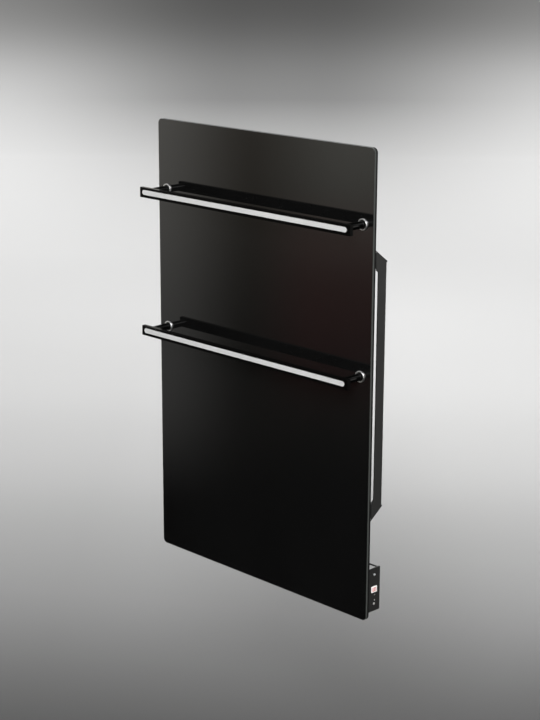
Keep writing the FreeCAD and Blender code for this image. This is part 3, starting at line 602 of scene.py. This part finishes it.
def make_marks():
    """A raised bar and ring, the plain on and off marks, on the two faces of the rocker.

    The ring is a circle carried round a circle and pressed flat. The bar is a superellipse that swells out
    from its middle, with a flat top that falls away at the rim. Both sink into the face by their own height.
    """
    low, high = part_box("switch_body")
    crown = np.array([high.x - PIVOT_DEPTH + ROCKER_CROWN * math.cos(ROCKER_SWING),
                      (low.y + high.y) / 2 + ROCKER_CROWN * math.sin(ROCKER_SWING), (low.z + high.z) / 2])
    turn = full_turn(MARK_TURNS)

    def on_face(along, radius_u, radius_v, height):
        """Rings of points about the middle of a face that runs from the crown along a direction."""
        across = np.cross(along, (0, 0, 1))
        out = across * math.copysign(1, across[0])
        middle = crown + along * MARK_SHIFT
        return (middle + height[..., None] * out + radius_u[..., None] * along
                + radius_v[..., None] * np.cross(out, along))

    section = full_turn(RING_ROWS)[:, None]
    reach = (MARK_SIZE - MARK_STROKE) / 2 - MARK_STROKE / 2 * np.cos(section)
    flat_face = np.array([0.0, 1.0, 0.0])
    ring = on_face(flat_face, reach * np.cos(turn), reach * np.sin(turn),
                   MARK_HEIGHT * np.sin(section) * np.ones_like(turn))
    points, faces = closed_ring(ring)
    swell = np.linspace(BAR_MIDDLE, 1, BAR_ROWS)
    share = np.append(swell, 1.0)[:, None]
    rise = MARK_HEIGHT * np.append(1 - swell ** BAR_FLATNESS, -1.0)[:, None]
    wave_u, wave_v = superellipse(turn, SQUARE_POWER)
    raised_face = np.array([math.sin(2 * ROCKER_SWING), -math.cos(2 * ROCKER_SWING), 0.0])
    bar = on_face(raised_face, share * MARK_SIZE / 2 * wave_u, share * MARK_STROKE / 2 * wave_v,
                  rise * np.ones_like(turn))
    more, joined = closed_tube(bar, bar[0].mean(0), bar[-1].mean(0), len(points))
    add_piece("rocker_marks", np.concatenate([points, more]), faces + joined, "switch_white", "rocker")


# Studio


def add_scenery(name, points, faces, material):
    """Put points and faces into a mesh of the studio's own."""
    mesh = bpy.data.meshes.new(name)
    mesh.from_pydata(points, [], faces)
    mesh.materials.append(material)
    piece = bpy.data.objects.new(name, mesh)
    bpy.context.scene.collection.objects.link(piece)
    return piece


def floor_finish():
    """Pale floor tones with painted light and shade, worked out from lengths away from the camera and across
    its view.

    Its tone runs through stops away from the camera, a painted shadow darkest at the heater, and is painted
    paler to the right nearby.
    A soft fan of painted shade that widens from below the camera darkens the far middle.
    Wide of it the tone follows the length away alone, painted darker towards the front.
    """
    material, tree, shader = new_finish("floor_painted_light")
    away = vector_calc(tree, "DOT_PRODUCT", place(tree), AWAY)["Value"]
    across = vector_calc(tree, "DOT_PRODUCT", place(tree), ACROSS)["Value"]
    stops = [((at - TONE_START) / (TONE_END - TONE_START), grey(tone)) for at, tone in PAINTED_LIGHT_TONES]
    # Painted light and shade by metres away, darkest at the heater
    depth = shades(tree, spread(tree, away, 0, 1, TONE_START, TONE_END), *stops, interpolation="CARDINAL")
    # Painted light: paler to the right nearby
    light_lean = calc(tree, "MULTIPLY", spread(tree, across, -LIGHT_LEAN, LIGHT_LEAN, -LIGHT_LEAN_HALF_WIDTH, LIGHT_LEAN_HALF_WIDTH),
                spread(tree, away, 1, 0, *LIGHT_LEAN_FADE))
    distance = calc(tree, "MAXIMUM", calc(tree, "ADD", away, CAMERA_DISTANCE), LEAST_DISTANCE)
    aside = calc(tree, "DIVIDE", calc(tree, "ABSOLUTE", across), distance)
    # Painted shade: a soft fan darkens the far middle
    fan = calc(tree, "MULTIPLY", soft_spread(tree, aside, 1, 0, *SHADE_FAN_ASIDE),
               spread(tree, away, 0, SHADE_FAN_DARKEST, *SHADE_FAN_DEPTH))
    gain = calc(tree, "SUBTRACT", calc(tree, "ADD", light_lean, 1.0), fan)
    shaded = put(tree, "ShaderNodeVectorMath", {0: depth, "Scale": gain}, operation="SCALE").outputs[0]
    # Painted shade wide of the fan: darker towards the front
    side_tone = spread(tree, away, *SIDE_SHADE_TONES, *SIDE_DEPTH)
    side = put(tree, "ShaderNodeCombineColor", {0: side_tone, 1: side_tone, 2: side_tone}).outputs[0]
    painted_light = mix_colours(tree, soft_spread(tree, aside, 0, 1, *SIDE_ASIDE), shaded, side)
    set_shader(tree, shader, base_color=painted_light, roughness=0.9, specular_ior_level=0.0)
    return material


def make_floor():
    """A wide pale floor with painted light and shade; mirrors don't see it, only the soft surroundings."""
    ends = (-FLOOR_HALF, FLOOR_HALF)
    corners = [(ends[i], ends[j], FLOOR_LEVEL) for i, j in ((0, 0), (1, 0), (1, 1), (0, 1))]
    floor = add_scenery("floor", corners, [(0, 1, 2, 3)], floor_finish())
    floor.visible_glossy = False


def make_backdrop():
    """A far round wall that only the camera sees: an upright cylinder that glows with painted light, paling
    from the floor up.
    """
    turn = full_turn(BACKDROP_TURNS)
    ring = np.stack([BACKDROP_RADIUS * np.cos(turn), BACKDROP_RADIUS * np.sin(turn),
                     np.full_like(turn, FLOOR_LEVEL)], -1)
    points = np.concatenate([ring, ring + (0, 0, BACKDROP_HEIGHT)])
    here = np.arange(BACKDROP_TURNS)
    on = (here + 1) % BACKDROP_TURNS
    quads = np.stack([on, here, here + BACKDROP_TURNS, on + BACKDROP_TURNS], -1)
    material, tree, shader = new_finish("backdrop_glow")
    rise = put(tree, "ShaderNodeSeparateXYZ", {0: place(tree)}).outputs[2]
    share = spread(tree, rise, 0, 1, FLOOR_LEVEL, FLOOR_LEVEL + BACKDROP_HEIGHT)
    # Painted light: the wall glows, darker at the floor and paler up
    tone = shades(tree, share, *[(at, grey(shade)) for at, shade in BACKDROP_GLOW_TONES], interpolation="CARDINAL")
    set_shader(tree, shader, base_color=(0, 0, 0, 1), roughness=1.0, specular_ior_level=0.0,
               emission_color=tone, emission_strength=1.0)
    backdrop = add_scenery("backdrop", points.tolist(), quads.tolist(), material)
    backdrop.visible_diffuse = False
    backdrop.visible_glossy = False
    backdrop.visible_transmission = False
    backdrop.visible_shadow = False


def make_surroundings():
    """Soft surroundings as seen in mirrors: a dome, and glows low down in front, beside and behind."""
    world = bpy.data.worlds.new("studio")
    bpy.context.scene.world = world
    world.use_nodes = True
    tree = world.node_tree
    direction = put(tree, "ShaderNodeTexCoord").outputs["Generated"]
    x, y, z = put(tree, "ShaderNodeSeparateXYZ", {0: direction}).outputs
    angle = calc(tree, "ARCTAN2", calc(tree, "MULTIPLY", x, -1.0), calc(tree, "MULTIPLY", y, -1.0))
    height = calc(tree, "ARCSINE", z)

    def mask(value, start, end):
        """An S curve from 0 at start to 1 at end, in degrees."""
        first, last = math.radians(start), math.radians(end)
        if first < last:
            return soft_spread(tree, value, 0, 1, first, last)
        return soft_spread(tree, value, 1, 0, last, first)

    glows = []
    for colour, strength, angle_masks, height_masks in GLOWS:
        power = strength
        for value, ranges in ((angle, angle_masks), (height, height_masks)):
            for start, end in ranges:
                power = calc(tree, "MULTIPLY", mask(value, start, end), power)
        glows.append(put(tree, "ShaderNodeEmission", {"Color": (*colour, 1), "Strength": power}).outputs[0])
    total = glows[0]
    for glow in glows[1:]:
        total = put(tree, "ShaderNodeAddShader", {0: total, 1: glow}).outputs[0]
    tree.links.new(total, tree.nodes["World Output"].inputs["Surface"])


def standing(side, up, back, spot):
    """The matrix of an object at a spot, with its own x, y and z along the three directions."""
    rows = np.stack([side, up, back], 1)
    return Matrix([(*row, at) for row, at in zip(rows, spot)] + [(0, 0, 0, 1)])


def add_light(name, spot, target, size, power):
    """A square soft light at a spot, turned to a target."""
    light = bpy.data.lights.new(name, "AREA")
    light.shape = "SQUARE"
    light.size = size
    light.energy = power
    lamp = bpy.data.objects.new(name, light)
    back = np.array(spot, float) - np.array(target, float)
    back /= np.linalg.norm(back)
    side = np.cross((0, 0, 1), back)
    side /= np.linalg.norm(side)
    lamp.matrix_world = standing(side, np.cross(back, side), back, spot)
    bpy.context.scene.collection.objects.link(lamp)


def make_lights():
    """A key from the camera's right, a soft top light, and wide lights over the floor behind and in front."""
    for light in LIGHTS:
        add_light(*light)


def make_camera():
    """The photograph's camera: yaw and pitch turn its line of sight, and roll its upright."""
    yaw, pitch, roll = (math.radians(v) for v in (CAMERA_YAW, CAMERA_PITCH, CAMERA_ROLL))
    sight = np.array([-math.sin(yaw) * math.cos(pitch), math.cos(yaw) * math.cos(pitch), -math.sin(pitch)])
    level = np.array([math.cos(yaw), math.sin(yaw), 0])
    upright = np.cross(level, sight)
    side = math.cos(roll) * level + math.sin(roll) * upright
    up = math.cos(roll) * upright - math.sin(roll) * level
    data = bpy.data.cameras.new("camera")
    data.lens = CAMERA_LENS
    camera = bpy.data.objects.new("camera", data)
    camera.matrix_world = standing(side, up, -sight, CAMERA_PLACE)
    bpy.context.scene.collection.objects.link(camera)
    bpy.context.scene.camera = camera


finishes = make_finishes()
dress_nodes()
make_screws()
make_sleeves()
make_marks()
make_floor()
make_backdrop()
make_surroundings()
make_lights()
make_camera()
bpy.context.scene.view_settings.view_transform = "Standard"
